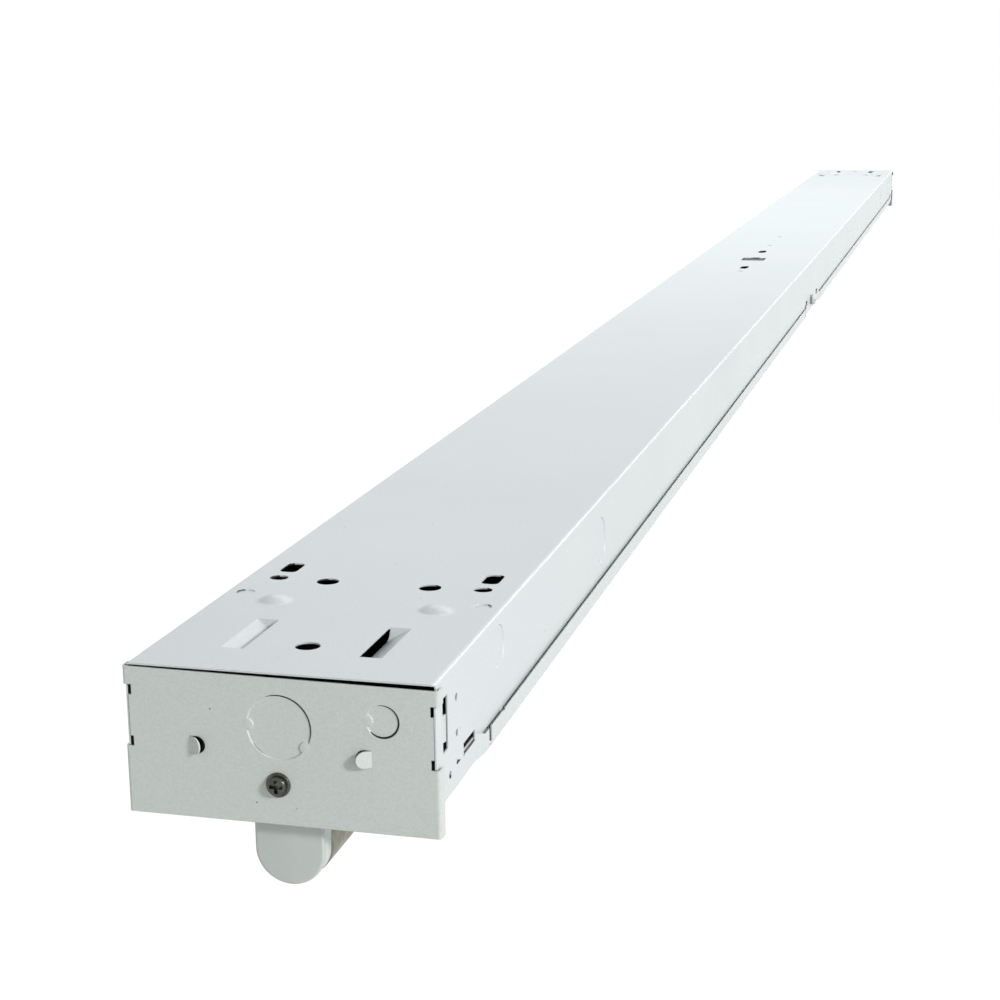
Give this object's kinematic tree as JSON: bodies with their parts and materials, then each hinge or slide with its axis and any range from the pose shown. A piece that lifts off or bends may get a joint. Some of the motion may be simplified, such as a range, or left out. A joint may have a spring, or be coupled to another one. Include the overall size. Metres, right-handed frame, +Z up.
{
  "type": "led strip light fixture",
  "caption": "White sheet-steel ceiling strip light, eight feet long, with tube lamps end to end in turn-lock lampholders under a channel closed by two wireway covers.",
  "frame": {"origin": "middle of the channel's top face, which goes against the ceiling", "axes": "+X across the channel to the right as the front end is faced, +Y along the channel from the front end to the back end, +Z up into the ceiling"},
  "size_m": [0.1178, 2.4488, 0.0795],
  "materials": {
    "white_paint": "semi-gloss baked enamel",
    "cover_paint": "semi-gloss baked enamel",
    "zinc_steel": "bright zinc",
    "knob_plastic": "moulded",
    "holder_plastic": "moulded",
    "rotor_plastic": "moulded",
    "contact_bronze": "bright",
    "tube_lens": "frosted",
    "cap_metal": "satin",
    "pin_brass": "bright",
    "board_white": "solder mask",
    "chip_yellow": "cast",
    "driver_green": "solder mask",
    "lead_black": "insulated",
    "lead_white": "insulated",
    "lead_green": "insulated",
    "block_plastic": "moulded",
    "earth_steel": "green dyed zinc"
  },
  "bodies": {
    "fixture": {"cover_back": "cover_paint", "cover_front": "cover_paint", "earth_lead": "lead_green", "earth_screw": "earth_steel", "end_plate_back": "white_paint", "end_plate_front": "white_paint", "end_plate_screws": "zinc_steel", "housing_channel": "white_paint", "lampholder_back_back_inner": "holder_plastic", "lampholder_back_back_outer": "holder_plastic", "lampholder_back_front_inner": "holder_plastic", "lampholder_back_front_outer": "holder_plastic", "lampholder_contacts_back_inner": "contact_bronze", "lampholder_contacts_back_outer": "contact_bronze", "lampholder_contacts_front_inner": "contact_bronze", "lampholder_contacts_front_outer": "contact_bronze", "lampholder_shell_back_inner": "holder_plastic", "lampholder_shell_back_outer": "holder_plastic", "lampholder_shell_front_inner": "holder_plastic", "lampholder_shell_front_outer": "holder_plastic", "line_lead_back": "lead_black", "line_lead_front": "lead_black", "neutral_lead_back": "lead_white", "neutral_lead_front": "lead_white", "socket_bracket_back": "white_paint", "socket_bracket_centre": "white_paint", "socket_bracket_front": "white_paint", "terminal_block": "block_plastic", "terminal_screws": "zinc_steel", "terminal_sleeves": "contact_bronze"},
    "lamp_front": {"lamp_tube_front": "tube_lens", "lamp_cap_front_outer": "cap_metal", "lamp_cap_front_inner": "cap_metal", "lamp_pins_front": "pin_brass", "light_board_front": "board_white", "light_chips_front": "chip_yellow", "lamp_driver_front": "driver_green"},
    "lamp_back": {"lamp_tube_back": "tube_lens", "lamp_cap_back_outer": "cap_metal", "lamp_cap_back_inner": "cap_metal", "lamp_pins_back": "pin_brass", "light_board_back": "board_white", "light_chips_back": "chip_yellow", "lamp_driver_back": "driver_green"},
    "rotor_front_outer": {"lampholder_rotor_front_outer": "rotor_plastic"},
    "rotor_front_inner": {"lampholder_rotor_front_inner": "rotor_plastic"},
    "rotor_back_inner": {"lampholder_rotor_back_inner": "rotor_plastic"},
    "rotor_back_outer": {"lampholder_rotor_back_outer": "rotor_plastic"},
    "latch_left": {"latch_knob_left": "knob_plastic", "latch_cam_left": "zinc_steel"},
    "latch_right": {"latch_knob_right": "knob_plastic", "latch_cam_right": "zinc_steel"}
  },
  "joints": [
    {"name": "lamp_front_turn", "type": "hinge", "parent": "fixture", "child": "lamp_front", "pos_m": [0, -0.6082, -0.0646], "axis": [0, -1, 0], "range_deg": [0, 90]},
    {"name": "lamp_back_turn", "type": "hinge", "parent": "fixture", "child": "lamp_back", "pos_m": [0, 0.6082, -0.0646], "axis": [0, -1, 0], "range_deg": [0, 90]},
    {"name": "rotor_front_outer_turn", "type": "hinge", "parent": "fixture", "child": "rotor_front_outer", "pos_m": [0, -1.2122, -0.0646], "axis": [0, -1, 0], "range_deg": [0, 90]},
    {"name": "rotor_front_inner_turn", "type": "hinge", "parent": "fixture", "child": "rotor_front_inner", "pos_m": [0, -0.0042, -0.0646], "axis": [0, -1, 0], "range_deg": [0, 90]},
    {"name": "rotor_back_inner_turn", "type": "hinge", "parent": "fixture", "child": "rotor_back_inner", "pos_m": [0, 0.0042, -0.0646], "axis": [0, -1, 0], "range_deg": [0, 90]},
    {"name": "rotor_back_outer_turn", "type": "hinge", "parent": "fixture", "child": "rotor_back_outer", "pos_m": [0, 1.2122, -0.0646], "axis": [0, -1, 0], "range_deg": [0, 90]},
    {"name": "latch_left_turn", "type": "hinge", "parent": "fixture", "child": "latch_left", "pos_m": [-0.054, 0.01, -0.0348], "axis": [-1, 0, 0], "range_deg": [0, 90]},
    {"name": "latch_right_turn", "type": "hinge", "parent": "fixture", "child": "latch_right", "pos_m": [0.054, -0.01, -0.0348], "axis": [1, 0, 0], "range_deg": [0, 90]}
  ],
  "couplings": [
    {"joint": "rotor_front_outer_turn", "follows": "lamp_front_turn", "ratio": 1},
    {"joint": "rotor_front_inner_turn", "follows": "lamp_front_turn", "ratio": 1},
    {"joint": "rotor_back_inner_turn", "follows": "lamp_back_turn", "ratio": 1},
    {"joint": "rotor_back_outer_turn", "follows": "lamp_back_turn", "ratio": 1}
  ]
}
